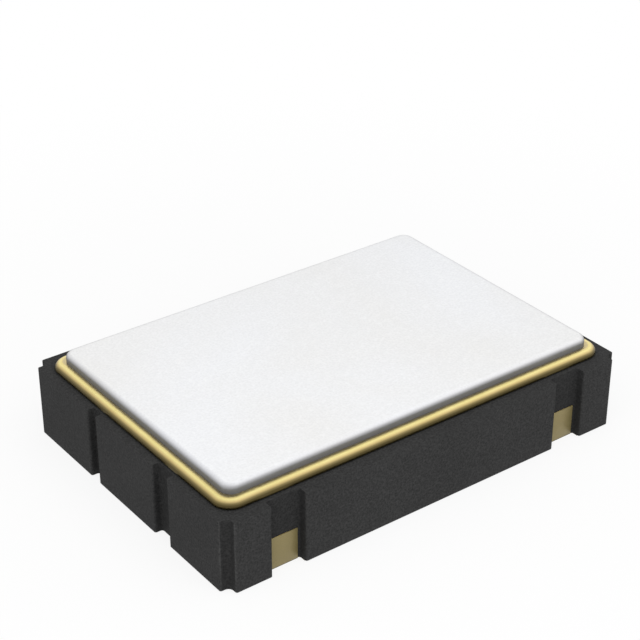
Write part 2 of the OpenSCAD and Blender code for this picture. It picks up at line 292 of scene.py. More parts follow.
class SurfaceEffects:
    """The effects that several finishes share, each built once as a node group."""

    GRAIN_NOISE = {"Detail": 3.0, "Roughness": 0.65}
    GRAIN_RANGE = (0.35, 1.05)
    MOTTLE_NOISE = {"Detail": 4.0, "Distortion": 0.4}
    MOTTLE_RANGE = (0.35, 0.65)
    WANDER_NOISE = {"Scale": 2500.0, "Detail": 3.0}

    def __init__(self, half_x: float, half_y: float) -> None:
        """Builds the groups.

        Args:
            half_x: half the body's length, in millimetres.
            half_y: half its width, in millimetres.
        """
        self.grain = self._grain()
        self.mottle = self._mottle()
        self.upright = self._upright()
        self.height = self._height()
        self.notch_shade = self._notch_shade(half_x * MM, half_y * MM)

    def _grain(self) -> Group:
        """Builds the fine grain of a fired, plated or cast surface.

        Returns:
            A group that puts out a mask of specks and a height.
        """
        tree, given = group_tree("Fine grain", {"Scale": 30000.0, "Specks": 0.5},
                                 "Mask", "Height")
        place = {"Vector": tree.place(), "Scale": given["Scale"]}
        fine = tree.first("ShaderNodeTexNoise", place | self.GRAIN_NOISE)
        specks = tree.math("MULTIPLY", tree.first("ShaderNodeTexVoronoi", place), given["Specks"])
        height = tree.math("ADD", fine, specks)
        return tree.give(Mask=tree.span(height, self.GRAIN_RANGE), Height=height)

    def _mottle(self) -> Group:
        """Builds the slow drift of one finish towards a second tone.

        Returns:
            A group that puts out the drifted colour.
        """
        tree, given = group_tree(
            "Mottle", {"Tone": (0.8, 0.8, 0.8, 1.0), "Drift": (0.9, 0.9, 0.9, 1.0),
                       "Scale": 900.0}, "Color")
        place = {"Vector": tree.place(), "Scale": given["Scale"]}
        noise = tree.first("ShaderNodeTexNoise", place | self.MOTTLE_NOISE)
        drifted = tree.mix(1.0, given["Tone"], given["Drift"], Mixed.PRODUCT)
        mask = tree.span(noise, self.MOTTLE_RANGE)
        return tree.give(Color=tree.mix(mask, given["Tone"], drifted))

    def _upright(self) -> Group:
        """Builds the mask of faces that don't look straight up or down.

        Returns:
            A group that puts out 0 on a level face and 1 on an upright one.
        """
        tree, given = group_tree("Upright faces", {"Level": 0.9, "Upright": 0.4}, "Mask")
        normal = tree.add("ShaderNodeNewGeometry").outputs["Normal"]
        level = tree.math("ABSOLUTE", tree.axes(normal)["Z"])
        return tree.give(Mask=tree.span(level, (given["Level"], given["Upright"]),
                                        interpolation_type="SMOOTHSTEP"))

    def _height(self) -> Group:
        """Builds the share of the way up between two heights.

        Returns:
            A group that puts out 0 at Low and 1 at High, wandering a little.
        """
        tree, given = group_tree("Height", {"Low": 0.0, "High": 0.001, "Wander": 0.02},
                                 "Share")
        place = tree.place()
        noise = tree.first("ShaderNodeTexNoise", {"Vector": place} | self.WANDER_NOISE)
        shift = tree.math("MULTIPLY", tree.math("SUBTRACT", noise, 0.5), given["Wander"])
        share = tree.span(tree.axes(place)["Z"], (given["Low"], given["High"]), clamp=False)
        return tree.give(Share=tree.math("ADD", share, shift, clamp=True))

    def _notch_shade(self, half_x: float, half_y: float) -> Group:
        """Builds the masks for painted shade in the notches of the body's outline and for a
        painted highlight on their lips.

        Args:
            half_x: half the body's length, in metres.
            half_y: half its width, in metres.

        Returns:
            A group that puts out three masks: Mask is 0 on the outline and 1 from
            Depth inwards, Wall is 1 on a side wall of a notch along a side, and Lip
            is the narrow line where a corner notch begins.
        """
        tree, given = group_tree("Painted notch shade", {"Depth": 0.00005, "Lip": 0.00001,
                                            "Corner": 0.00025}, "Mask", "Wall", "Lip")
        place = tree.axes(tree.place())
        turn = tree.axes(tree.add("ShaderNodeNewGeometry").outputs["Normal"])
        from_x, from_y = (tree.math("SUBTRACT", half, tree.math("ABSOLUTE", place[axis]))
                          for half, axis in ((half_x, "X"), (half_y, "Y")))
        depth = tree.math("MINIMUM", from_x, from_y)
        mask = tree.span(depth, (0.0, given["Depth"]))
        runs = tree.mix(tree.math("LESS_THAN", from_x, from_y), tree.math("ABSOLUTE", turn["X"]),
                        tree.math("ABSOLUTE", turn["Y"]), Mixed.NUMBER)
        corner = tree.math("LESS_THAN", tree.math("MAXIMUM", from_x, from_y), given["Corner"])
        along = tree.math("SUBTRACT", 1.0, corner)
        wall = tree.math("MULTIPLY", tree.math("MULTIPLY", mask, runs), along)
        steps = tree.math("SUBTRACT", tree.math("DIVIDE", depth, given["Lip"]), 1.0)
        lip = tree.math("SUBTRACT", 1.0, tree.math("ABSOLUTE", steps), clamp=True)
        return tree.give(Mask=mask, Wall=wall, Lip=tree.math("MULTIPLY", lip, corner))


# ---- Finishes ----


@dataclass(frozen=True)
class Finish:
    """A surface of one tone that drifts a little, with a fine grain."""

    slot: Slot
    tone: Rgb = (0.8, 0.8, 0.8)
    drift: Rgb = (0.92, 0.92, 0.92)
    drift_mm: float = 0.8
    metallic: float = 0.0
    specular: float = 0.5
    roughness: float = 0.5
    roughness_spread: float = 0.08
    grain_mm: float = 0.03
    grain_tone: float = 0.1
    grain_bump: float = 0.1
    grain_depth: float = 0.5

    def base(self, tree: Tree, effects: SurfaceEffects) -> object:
        """Returns the tone before drift and grain, as a colour or a colour output."""
        return self.tone

    def colour(self, tree: Tree, effects: SurfaceEffects, grain: Socket) -> Socket:
        """Lays drift and grain over the tone.

        Args:
            tree: the material's tree.
            effects: the shared groups.
            grain: the grain's mask.

        Returns:
            The colour over the surface.
        """
        drifted = tree.group(effects.mottle, Tone=self.base(tree, effects), Drift=self.drift,
                             Scale=1 / (self.drift_mm * MM))["Color"]
        dark, light = ((1.0 + shift,) * 3 for shift in (-self.grain_tone, self.grain_tone))
        return tree.mix(1.0, drifted, tree.mix(grain, dark, light), Mixed.PRODUCT)

    def shade(self, tree: Tree, effects: SurfaceEffects, shader: Node) -> None:
        """Sets what is the same all over the surface."""
        tree.fill(shader, {"Metallic": self.metallic, "Specular IOR Level": self.specular})

    def build(self, effects: SurfaceEffects) -> Material:
        """Builds the material.

        Args:
            effects: the shared groups.

        Returns:
            The material, named after its slot.
        """
        material, tree, shader = new_material(self.slot.value)
        size = self.grain_mm * MM
        grain = tree.group(effects.grain, Scale=1 / size)
        gloss = tree.span(grain["Mask"], target=(self.roughness - self.roughness_spread,
                                                 self.roughness + self.roughness_spread))
        bump = tree.first("ShaderNodeBump", {"Strength": self.grain_bump,
                                             "Distance": size * self.grain_depth,
                                             "Height": grain["Height"]})
        tree.fill(shader, {"Base Color": self.colour(tree, effects, grain["Mask"]),
                           "Roughness": gloss, "Normal": bump})
        self.shade(tree, effects, shader)
        return material


@dataclass(frozen=True)
class SidedFinish(Finish):
    """A finish whose upright faces have a tone of their own."""

    side_tone: Rgb = (0.5, 0.5, 0.5)

    def base(self, tree: Tree, effects: SurfaceEffects) -> Socket:
        """Returns the tone, with the side's colour on upright faces."""
        mask = tree.group(effects.upright)["Mask"]
        return tree.mix(mask, self.tone, self.side(tree, effects))

    def side(self, tree: Tree, effects: SurfaceEffects) -> object:
        """Returns the colour of upright faces, or its output."""
        return self.side_tone


@dataclass(frozen=True)
class PlatedFinish(SidedFinish):
    """A plating that is dull on upright faces, with painted shade on them, and dark on its thin
    lower edge.
    """

    edge_tone: Rgb = (0.05, 0.04, 0.02)
    edge_mm: float = 0.02
    edge_fade: float = 1.2
    upright_metallic: float = 0.25

    def side(self, tree: Tree, effects: SurfaceEffects) -> Socket:
        """Darkens the upright faces below the plating's own thickness.

        Args:
            tree: the material's tree.
            effects: the shared groups.

        Returns:
            The colour output.
        """
        edge = self.edge_mm * MM
        height = tree.group(effects.height, Low=edge, High=edge * self.edge_fade, Wander=0.0)
        return tree.mix(height["Share"], self.edge_tone, self.side_tone)

    def shade(self, tree: Tree, effects: SurfaceEffects, shader: Node) -> None:
        """Makes the upright faces less mirror-like than the level ones.

        Args:
            tree: the material's tree.
            effects: the shared groups.
            shader: the Principled shader.
        """
        super().shade(tree, effects, shader)
        dull = tree.span(tree.group(effects.upright)["Mask"],
                         target=(self.metallic, self.upright_metallic))
        tree.fill(shader, {"Metallic": dull})


@dataclass(frozen=True)
class PaintedNotchShadeFinish(SidedFinish):
    """A finish with painted shade inside the notches of the outline and a painted highlight on
    the lips of the corner notches.
    """

    # Painted shade in the notches, darker on their side walls, and a painted highlight on the
    # corner notches' lips.
    notch_shade_share: float = 0.74
    notch_shade_mm: float = 0.05
    wall_shade_share: float = 0.86
    lip_highlight_share: float = 1.35
    lip_highlight_mm: float = 0.014
    corner_mm: float = 0.25

    def side(self, tree: Tree, effects: SurfaceEffects) -> object:
        """Lays painted shade on the upright faces set back from the outline, more on the notches'
        side walls, and a painted highlight on the corner notches' lips.

        Args:
            tree: the material's tree.
            effects: the shared groups.

        Returns:
            The colour output.
        """
        masks = tree.group(effects.notch_shade, Depth=self.notch_shade_mm * MM, Lip=self.lip_highlight_mm * MM,
                           Corner=self.corner_mm * MM)
        colour: object = self.side_tone
        # Painted shade in the notch, more painted shade on its walls, then the painted highlight
        # on the lip.
        for name, share in (("Mask", self.notch_shade_share),
                            ("Wall", self.notch_shade_share * self.wall_shade_share),
                            ("Lip", self.lip_highlight_share)):
            shaded = tuple(channel * share for channel in self.side_tone)
            colour = tree.mix(masks[name], colour, shaded)
        return colour


@dataclass(frozen=True)
class PaintedLightBandFinish(Finish):
    """A finish whose tone changes with height, in bands of painted light and shade."""

    # Tones by height that paint highlight, reflection and shade.
    painted_light_bands: tuple[tuple[float, Rgb], ...] = ()
    low_mm: float = 0.0
    high_mm: float = 1.0
    wander: float = 0.03

    def base(self, tree: Tree, effects: SurfaceEffects) -> Socket:
        """Runs through the painted light and shade bands from the lowest to the highest.

        Args:
            tree: the material's tree.
            effects: the shared groups.

        Returns:
            The colour output.
        """
        height = tree.group(effects.height, Low=self.low_mm * MM, High=self.high_mm * MM,
                            Wander=self.wander)
        ramp = tree.add("ShaderNodeValToRGB", {"Fac": height["Share"]})
        stops = ramp.color_ramp.elements
        for share, _ in self.painted_light_bands[1:-1]:
            stops.new(share)
        for stop, (_, colour) in zip(stops, self.painted_light_bands):
            stop.color = (*colour, 1.0)
        return ramp.outputs["Color"]


@dataclass(frozen=True)
class DullFootPaintedLightFinish(PaintedLightBandFinish):
    """A satin plating banded with painted shade, less metallic at the foot."""

    dull_share: float = 0.3
    bright_share: float = 0.7
    dull_metallic: float = 0.2
    grazing_tint: float = 0.45

    def shade(self, tree: Tree, effects: SurfaceEffects, shader: Node) -> None:
        """Makes the foot duller than the top, and the plating darker at a grazing angle.

        Args:
            tree: the material's tree.
            effects: the shared groups.
            shader: the Principled shader.
        """
        super().shade(tree, effects, shader)
        ends = [(self.low_mm + share * (self.high_mm - self.low_mm)) * MM
                for share in (self.dull_share, self.bright_share)]
        bright = tree.span(tree.axes(tree.place())["Z"], ends,
                           (self.dull_metallic, self.metallic))
        tree.fill(shader, {"Metallic": bright, "Specular Tint": (self.grazing_tint,) * 3})


@dataclass(frozen=True)
class ClearFinish(Finish):
    """A polished clear crystal."""

    ior: float = 1.54

    def shade(self, tree: Tree, effects: SurfaceEffects, shader: Node) -> None:
        """Lets light through as well."""
        super().shade(tree, effects, shader)
        tree.fill(shader, {"Transmission Weight": 1.0, "IOR": self.ior})


# Each band's share of the way up and its painted tone.
# On the ring: painted shade and a painted reflection of the black body at the foot, a painted
# highlight near the top, and painted shade beside the lid.
RING_PAINTED_LIGHT = (
    (0.00, tone(80, 72, 48)), (0.17, tone(86, 77, 48)), (0.29, tone(88, 78, 50)),
    (0.48, tone(89, 79, 51)), (0.66, tone(134, 120, 82)), (0.80, tone(208, 186, 130)),
    (0.92, tone(244, 230, 160)), (0.98, tone(238, 220, 151)), (1.00, tone(208, 192, 148)))
# On the lid: painted shade on its rounded side, lightening to the top.
LID_PAINTED_SHADE = (
    (0.00, tone(98, 99, 103)), (0.13, tone(100, 102, 108)), (0.26, tone(106, 108, 113)),
    (0.40, tone(119, 120, 123)), (0.50, tone(132, 133, 135)), (0.60, tone(153, 154, 156)),
    (0.73, tone(183, 183, 186)), (0.86, tone(216, 217, 220)), (0.93, tone(229, 230, 233)),
    (0.97, tone(237, 238, 241)), (1.00, tone(248, 249, 251)))


def finishes(ring: "NodeBox", lid: "NodeBox", pad_t: float) -> list[Finish]:
    """Lists the finishes of the whole part.

    Args:
        ring: where the seal ring is.
        lid: where the lid is.
        pad_t: the pads' thickness, in millimetres.

    Returns:
        One finish for each material slot.
    """
    return [
        PaintedNotchShadeFinish(Slot.CERAMIC, tone(56, 56, 56), side_tone=tone(57, 57, 57),
                      specular=0.05, roughness=0.7, grain_tone=0.45, grain_bump=0.3),
        # The darker side tone of the pads' castellation strips is painted shade.
        PlatedFinish(Slot.PAD, tone(234, 209, 140), drift=(0.95, 0.94, 0.90), drift_mm=0.3,
                     metallic=1.0, roughness=0.42, grain_mm=0.025, grain_tone=0.06,
                     grain_bump=0.12, side_tone=tone(141, 128, 86),
                     edge_tone=tone(62, 57, 44), edge_mm=pad_t),
        Finish(Slot.TRACE, tone(224, 196, 124), drift=(0.90, 0.88, 0.84), metallic=1.0,
               roughness=0.45, grain_mm=0.02, grain_tone=0.08, grain_bump=0.2),
        Finish(Slot.BRAZE, tone(110, 98, 66), drift=(0.8, 0.78, 0.7), drift_mm=0.2,
               metallic=1.0, roughness=0.5, grain_bump=0.3),
        PaintedLightBandFinish(Slot.RING, drift=(0.94, 0.93, 0.88), drift_mm=0.4, metallic=1.0,
                     roughness=0.36, grain_tone=0.05, grain_bump=0.1, painted_light_bands=RING_PAINTED_LIGHT,
                     low_mm=ring.low.z, high_mm=ring.high.z),
        DullFootPaintedLightFinish(Slot.LID, drift=(0.97, 0.955, 0.925), drift_mm=4.5, metallic=1.0,
                     roughness=0.4, grain_mm=0.035, grain_tone=0.06, grain_bump=0.08,
                     wander=0.01, painted_light_bands=LID_PAINTED_SHADE, low_mm=lid.low.z, high_mm=lid.high.z),
        Finish(Slot.ADHESIVE, tone(196, 196, 198), metallic=0.4, roughness=0.6, grain_mm=0.02,
               grain_tone=0.25, grain_bump=0.5),
        SidedFinish(Slot.SILICON, tone(63, 74, 88), drift=(1.1, 0.9, 1.1), drift_mm=0.3,
                    roughness=0.15, grain_mm=0.02, grain_bump=0.02, side_tone=tone(84, 84, 88)),
        Finish(Slot.BOND_PAD, tone(231, 231, 233), metallic=1.0, roughness=0.35,
               grain_mm=0.01),
        Finish(Slot.WIRE, tone(246, 222, 156), drift=(0.94, 0.92, 0.86), metallic=1.0,
               roughness=0.25, grain_mm=0.01, grain_tone=0.04, grain_bump=0.04),
        ClearFinish(Slot.QUARTZ, tone(249, 251, 252), roughness=0.08, roughness_spread=0.03,
                    grain_tone=0.02, grain_bump=0.02),
        Finish(Slot.ELECTRODE, tone(240, 240, 242), drift=(0.93, 0.93, 0.94), drift_mm=0.5,
               metallic=1.0, roughness=0.22, grain_mm=0.02, grain_tone=0.05, grain_bump=0.05),
    ]


# ---- Meshes ----

# Corners closer than MERGE_MM become one, and edges flatter than FLAT_DEG go.
MERGE_MM = 0.0002
FLAT_DEG = 0.4
# Edges are softened past SOFTEN_DEG, and what is left stays sharp past SHARP_DEG.
SOFTEN_DEG = 40.0
SHARP_DEG = 38.0
SOFT_EDGE_STEPS = 2
FLAT_FACE_WEIGHT = 80


@dataclass(frozen=True)
class NodeBox:
    """Where a CAD node is, in millimetres."""

    low: Vector
    high: Vector

    @classmethod
    def of(cls, node: str) -> "NodeBox":
        """Reads the box of a CAD node by its name."""
        low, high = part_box(node)
        return cls(low / MM, high / MM)

    @property
    def half(self) -> Vector:
        """Half the box's size."""
        return (self.high - self.low) / 2

    @property
    def centre(self) -> Vector:
        """The box's middle."""
        return (self.high + self.low) / 2


def add_object(name: str, data: bpy.types.ID) -> Object:
    """Adds an object to the scene.

    Args:
        name: its name.
        data: its mesh, lamp or camera.

    Returns:
        The object.
    """
    made = bpy.data.objects.new(name, data)
    bpy.context.scene.collection.objects.link(made)
    return made


def rounded_rectangle(half: Vector, inset: float, radius: float, z: float,
                      steps: int) -> list[Vector]:
    """Lists the points of a level rectangle with round corners.

    Args:
        half: half the length and width of the outline.
        inset: how far the rectangle is set back from the outline.
        radius: its corner radius.
        z: its height.
        steps: the straight pieces in each corner.

    Returns:
        The points, turning left.
    """
    points = []
    for quarter in range(4):
        x = (half.x - inset - radius) * (1 if quarter in (0, 3) else -1)
        y = (half.y - inset - radius) * (1 if quarter < 2 else -1)
        for step in range(steps + 1):
            angle = math.pi / 2 * (quarter + step / steps)
            points.append(Vector((x + radius * math.cos(angle),
                                  y + radius * math.sin(angle), z)))
    return points


def quarter_round(reach: float, drop: float, steps: int) -> list[tuple[float, float]]:
    """Returns how far each point of a round edge is set back, and how far it is down."""
    angles = (math.pi / 2 * i / steps for i in range(steps + 1))
    return [(reach * (1 - math.cos(a)), drop * (1 - math.sin(a))) for a in angles]


def finish_mesh(bm: bmesh.types.BMesh, name: str) -> Object:
    """Turns a shell in millimetres into an object in metres with smooth faces.

    Args:
        bm: the shell, which is used up.
        name: the object's name.

    Returns:
        The object, at the origin.
    """
    bmesh.ops.recalc_face_normals(bm, faces=bm.faces[:])
    for face in bm.faces:
        face.smooth = True
    sharp = math.radians(SHARP_DEG)
    for edge in bm.edges:
        edge.smooth = not edge.is_manifold or edge.calc_face_angle(0.0) < sharp
    bmesh.ops.scale(bm, vec=(MM, MM, MM), verts=bm.verts[:])
    mesh = bpy.data.meshes.new(name)
    bm.to_mesh(mesh)
    bm.free()
    return add_object(name, mesh)


def loft(name: str, half: Vector, rows: Iterable[tuple[float, float, float]], steps: int,
         closed: bool) -> Object:
    """Joins rounded rectangles with four-sided faces.

    Args:
        name: the object's name.
        half: half the length and width of the outline.
        rows: the inset, corner radius and height of each rectangle in turn.
        steps: the straight pieces in each corner.
        closed: whether the last joins the first. If not, both get a face.

    Returns:
        The closed shell, as an object.
    """
    bm = bmesh.new()
    loops = [[bm.verts.new(p) for p in rounded_rectangle(half, *row, steps)] for row in rows]
    count = len(loops[0])
    for lower, upper in zip(loops, loops[1:] + ([loops[0]] if closed else [])):
        for i in range(count):
            j = (i + 1) % count
            bm.faces.new((lower[i], lower[j], upper[j], upper[i]))
    if not closed:
        bm.faces.new(list(reversed(loops[0])))
        bm.faces.new(loops[-1])
    return finish_mesh(bm, name)


def plain_mesh(piece: Object) -> None:
    """Bakes an object's modifiers into its mesh and removes them.

    Args:
        piece: the object.
    """
    bpy.context.view_layer.update()
    graph = bpy.context.evaluated_depsgraph_get()
    mesh = bpy.data.meshes.new_from_object(piece.evaluated_get(graph), depsgraph=graph)
    piece.modifiers.clear()
    old, piece.data = piece.data, mesh
    mesh.name = piece.name
    bpy.data.meshes.remove(old)


def softened(node: Object, name: str, width: float,
             chosen: Callable[[bmesh.types.BMEdge], bool]) -> Object:
    """Copies a CAD node and takes the sharpness off some of its edges.

    Args:
        node: the CAD node's object.
        name: the copy's name.
        width: the width of the softened edge, in millimetres.
        chosen: says whether a sharp edge is softened.

    Returns:
        The copy, with normals that keep its flat faces flat.
    """
    bm = bmesh.new()
    bm.from_mesh(node.data)
    bmesh.ops.scale(bm, vec=(1 / MM,) * 3, verts=bm.verts[:])
    bmesh.ops.remove_doubles(bm, verts=bm.verts[:], dist=MERGE_MM)
    bmesh.ops.dissolve_limit(bm, angle_limit=math.radians(FLAT_DEG), verts=bm.verts[:],
                             edges=bm.edges[:])
    edges = [e for e in bm.edges if e.is_manifold
             and e.calc_face_angle(0.0) > math.radians(SOFTEN_DEG) and chosen(e)]
    bmesh.ops.bevel(bm, geom=edges, offset=width, offset_type="OFFSET",
                    segments=SOFT_EDGE_STEPS, profile=0.5, affect="EDGES", clamp_overlap=True)
    piece = finish_mesh(bm, name)
    keeper = piece.modifiers.new("flat faces", "WEIGHTED_NORMAL")
    keeper.keep_sharp = True
    keeper.weight = FLAT_FACE_WEIGHT
    plain_mesh(piece)
    return piece


class Dresser:
    """Puts finishes on pieces and ties them to the frame."""

    def __init__(self, nodes: dict[str, Object], materials: dict[Slot, Material]) -> None:
        """Keeps the CAD nodes by name and the materials by slot."""
        self.nodes = nodes
        self.materials = materials

    def cover(self, piece: Object, slot: Slot) -> None:
        """Leaves a slot's material as the only one of a piece."""
        piece.data.materials.clear()
        piece.data.materials.append(self.materials[slot])

    def dress(self, piece: Object, slot: Slot, replaced: str) -> None:
        """Finishes a new piece that stands for a CAD node.

        Args:
            piece: the piece.
            slot: its material slot.
            replaced: the CAD node it stands for.
        """
        self.cover(piece, slot)
        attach(piece, ROOT)
        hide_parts(replaced)
        LOG.info("%s: %d faces, %s, for %s", piece.name, len(piece.data.polygons),
                 slot.value, replaced)

    def keep(self, node: str, slot: Slot) -> None:
        """Gives a CAD node that stays its finish."""
        self.cover(self.nodes[node], slot)
        LOG.info("%s: kept, %s", node, slot.value)


# ---- The package ----


@dataclass
class CeramicBody:
    """The black body, with the sharpness taken off its outer edges."""

    edge: float = 0.012
    wall: float = 0.5  # how far in from the outline an edge still counts as outer
    level: float = 0.002  # how near the top or underside it has to be

    def build(self, dresser: Dresser) -> None:
        """Builds and dresses the body.

        Args:
            dresser: finishes the piece.
        """
        box = NodeBox.of("ceramic_base")
        piece = softened(dresser.nodes["ceramic_base"], "body", self.edge,
                         lambda edge: all(self._outside(v.co, box) for v in edge.verts))
        dresser.dress(piece, Slot.CERAMIC, "ceramic_base")

    def _outside(self, point: Vector, box: NodeBox) -> bool:
        """Tells a corner of the body's outline from one of the cavity or of a trace.

        Args:
            point: a corner of the body.
            box: the body's box.

        Returns:
            Whether it lies on the top or underside, near the outline.
        """
        flat = min(abs(point.z - box.low.z), abs(point.z - box.high.z)) < self.level
        return flat and (abs(point.x) > box.half.x - self.wall
                         or abs(point.y) > box.half.y - self.wall)


@dataclass
class SolderPads:
    """The four pads, each with its strip up the castellation."""

    edge: float = 0.004
    names: tuple[str, ...] = ("pad_1", "pad_2", "pad_3", "pad_4")

    def build(self, dresser: Dresser) -> None:
        """Builds and dresses the pads.

        Args:
            dresser: finishes the pieces.
        """
        for name in self.names:
            piece = softened(dresser.nodes[name], f"plated_{name}", self.edge, lambda edge: True)
            dresser.dress(piece, Slot.PAD, name)


@dataclass
class SealRing:
    """The ring, a flat band with a round outer edge."""

    corner_r: float = 0.28
    band: float = 0.39
    inner_r: float = 0.15
    edge_reach: float = 0.14
    edge_drop: float = 0.10
    foot_r: float = 0.015
    support: float = 0.01
    corner_steps: int = 20
    edge_steps: int = 14
    foot_steps: int = 4

    def section(self, low: float, high: float) -> list[tuple[float, float, float]]:
        """Follows the ring's section from its foot over the outer edge to the inside.

        Args:
            low: the height of the foot.
            high: the height of the top.

        Returns:
            The setback, corner radius and height of each loop.
        """
        outer = [(fall, low + back)
                 for back, fall in quarter_round(self.foot_r, self.foot_r, self.foot_steps)]
        outer += [(back, high - fall) for back, fall
                  in quarter_round(self.edge_reach, self.edge_drop, self.edge_steps)]
        outer.append((self.edge_reach + self.support, high))
        inner = ((self.band - self.support, high), (self.band, high), (self.band, low),
                 (self.band - self.support, low))
        return ([(inset, self.corner_r - inset, z) for inset, z in outer]
                + [(inset, self.inner_r, z) for inset, z in inner])

    def build(self, dresser: Dresser) -> None:
        """Builds and dresses the ring.

        Args:
            dresser: finishes the piece.
        """
        box = NodeBox.of("seal_ring")
        rows = self.section(box.low.z, box.high.z)
        piece = loft("ring", box.half, rows, self.corner_steps, closed=True)
        dresser.dress(piece, Slot.RING, "seal_ring")


@dataclass
class Lid:
    """The lid, a plate with a round upper edge."""

    corner_r: float = 0.18
    edge_r: float = 0.08
    support: float = 0.015
    corner_steps: int = 20
    edge_steps: int = 12

    def build(self, dresser: Dresser) -> None:
        """Builds and dresses the lid.

        Args:
            dresser: finishes the piece.
        """
        box = NodeBox.of("lid")
        low, high = box.low.z, box.high.z
        section = [(self.support, low), (0.0, low)]
        section += [(back, high - fall) for back, fall
                    in quarter_round(self.edge_r, self.edge_r, self.edge_steps)]
        section.append((self.edge_r + self.support, high))
        rows = [(inset, max(self.corner_r - inset, self.support), z) for inset, z in section]
        piece = loft("cover", box.half, rows, self.corner_steps, closed=False)
        dresser.dress(piece, Slot.LID, "lid")


# ---- What is inside ----


@dataclass
class BondWires:
    """Six looped wires from the chip to its lands, and the pads they start on."""

    wire_d: float = 0.025
    wire_sides: int = 12
    rise: float = 0.11
    ball_d: float = 0.06
    ball_t: float = 0.012
    ball_sides: int = 20
    pad: float = 0.09
    steps: int = 32
    wires: tuple[str, ...] = tuple(f"bond_wire_{end}" for end in (
        "enable", "ground", "output", "supply", "crystal_a", "crystal_b"))

    def wire_tree(self, material: Material) -> Group:
        """Builds the tree that makes one wire from its two ends.

        Args:
            material: the wire's finish.

        Returns:
            The tree.
        """
        tree, here = group_tree(
            "Bond wire", {"Geometry": None, "Start": (0, 0, 0), "End": (0, 0, 0), "Rise": 0.1,
                          "Wire Radius": 0.0125, "Ball Radius": 0.03, "Ball Height": 0.012,
                          "Steps": 32}, "Geometry", kind=TreeKind.GEOMETRY)
        last = tree.math("SUBTRACT", here["Steps"], 1.0)
        share = tree.math("DIVIDE", tree.first("GeometryNodeInputIndex"), last)
        turn = tree.math("MULTIPLY", math.pi, share)
        along = tree.math("MULTIPLY", 0.5, tree.math("SUBTRACT", 1.0, tree.math("COSINE", turn)))
        level = tree.mix(along, here["Start"], here["End"], Mixed.VECTOR)
        lift = tree.math("MULTIPLY", here["Rise"], tree.math("SINE", turn))
        point = self.raised(tree, level, lift)
        line = tree.first("GeometryNodeMeshLine", {"Count": here["Steps"]})
        bent = tree.first("GeometryNodeSetPosition", {"Geometry": line, "Position": point})
        curve = tree.first("GeometryNodeMeshToCurve", {"Mesh": bent})
        ring = tree.first("GeometryNodeCurvePrimitiveCircle",
                          {"Resolution": self.wire_sides, "Radius": here["Wire Radius"]})
        tube = tree.first("GeometryNodeCurveToMesh",
                          {"Curve": curve, "Profile Curve": ring, "Fill Caps": True})
        parts = tree.add("GeometryNodeJoinGeometry", {0: tube})
        drop = tree.math("MULTIPLY", here["Ball Height"], -0.5)
        for end in ("Start", "End"):
            disc = tree.first("GeometryNodeMeshCylinder", {
                "Vertices": self.ball_sides, "Radius": here["Ball Radius"],
                "Depth": here["Ball Height"]})
            moved = tree.first("GeometryNodeTransform", {
                "Geometry": disc, "Translation": self.raised(tree, here[end], drop)})
            tree.feed(parts.inputs[0], moved)
        return self.closed(tree, parts.outputs[0], material)

    def pad_tree(self, material: Material) -> Group:
        """Builds the tree that puts one small pad on each point.

        Args:
            material: the pads' finish.

        Returns:
            The tree.
        """
        tree, here = group_tree("Bond pads", {"Geometry": None, "Size": (1, 1, 1)}, "Geometry",
                                kind=TreeKind.GEOMETRY)
        block = tree.first("GeometryNodeMeshCube", {"Size": here["Size"]})
        spread = tree.first("GeometryNodeInstanceOnPoints",
                            {"Points": here["Geometry"], "Instance": block})
        return self.closed(tree, spread, material)

    @staticmethod
    def raised(tree: Tree, point: Socket, lift: Socket) -> Socket:
        """Returns a point moved up by a height."""
        up = tree.first("ShaderNodeCombineXYZ", {"Z": lift})
        return tree.first("ShaderNodeVectorMath", {0: point, 1: up}, operation="ADD")

    @staticmethod
    def closed(tree: Tree, shape: Socket, material: Material) -> Group:
        """Ends a tree in real geometry with its finish.

        Args:
            tree: the tree.
            shape: the geometry made so far.
            material: its finish.

        Returns:
            The tree.
        """
        real = tree.first("GeometryNodeRealizeInstances", {"Geometry": shape})
        done = tree.first("GeometryNodeSetMaterial", {"Geometry": real, "Material": material})
        return tree.give(Geometry=done)

    @staticmethod
    def grow(name: str, points: Iterable[Vector], tree: Group, values: dict[str, object],
             smooth: bool = True) -> Object:
        """Runs a tree on some points and keeps the plain mesh.

        Args:
            name: the piece's name.
            points: the points it starts from, in millimetres.
            tree: the geometry tree.
            values: its named inputs.
            smooth: whether its four-sided faces look round.

        Returns:
            The piece, in metres.
        """
        seed = bpy.data.meshes.new(name)
        seed.from_pydata([tuple(p) for p in points], [], [])
        piece = add_object(name, seed)
        modifier = piece.modifiers.new(tree.name, "NODES")
        modifier.node_group = tree
        for item in tree.interface.items_tree:
            if item.in_out == "INPUT" and item.name in values:
                modifier[item.identifier] = values[item.name]
        plain_mesh(piece)
        piece.data.transform(Matrix.Scale(MM, 4))
        for face in piece.data.polygons:
            face.use_smooth = smooth and len(face.vertices) == 4
        return piece

    def ends(self, wire: str) -> tuple[Vector, Vector]:
        """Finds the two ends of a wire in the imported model.

        Args:
            wire: the CAD node of the wire.

        Returns:
            The top of its ball on the chip and the top of its stitch on the land.
        """
        box, die = NodeBox.of(wire), NodeBox.of("oscillator_die").centre
        inner = self.ball_d / 2
        xs = sorted((box.low.x + inner, box.high.x - inner), key=lambda x: abs(x - die.x))
        ys = sorted((box.low.y + inner, box.high.y - inner), key=lambda y: abs(y - die.y))
        chip = NodeBox.of("die_bond_pads").high.z + self.ball_t
        # The lands of all traces are as high as the top of this one.
        land = NodeBox.of("enable_trace").high.z + self.ball_t
        return Vector((xs[0], ys[0], chip)), Vector((xs[1], ys[1], land))

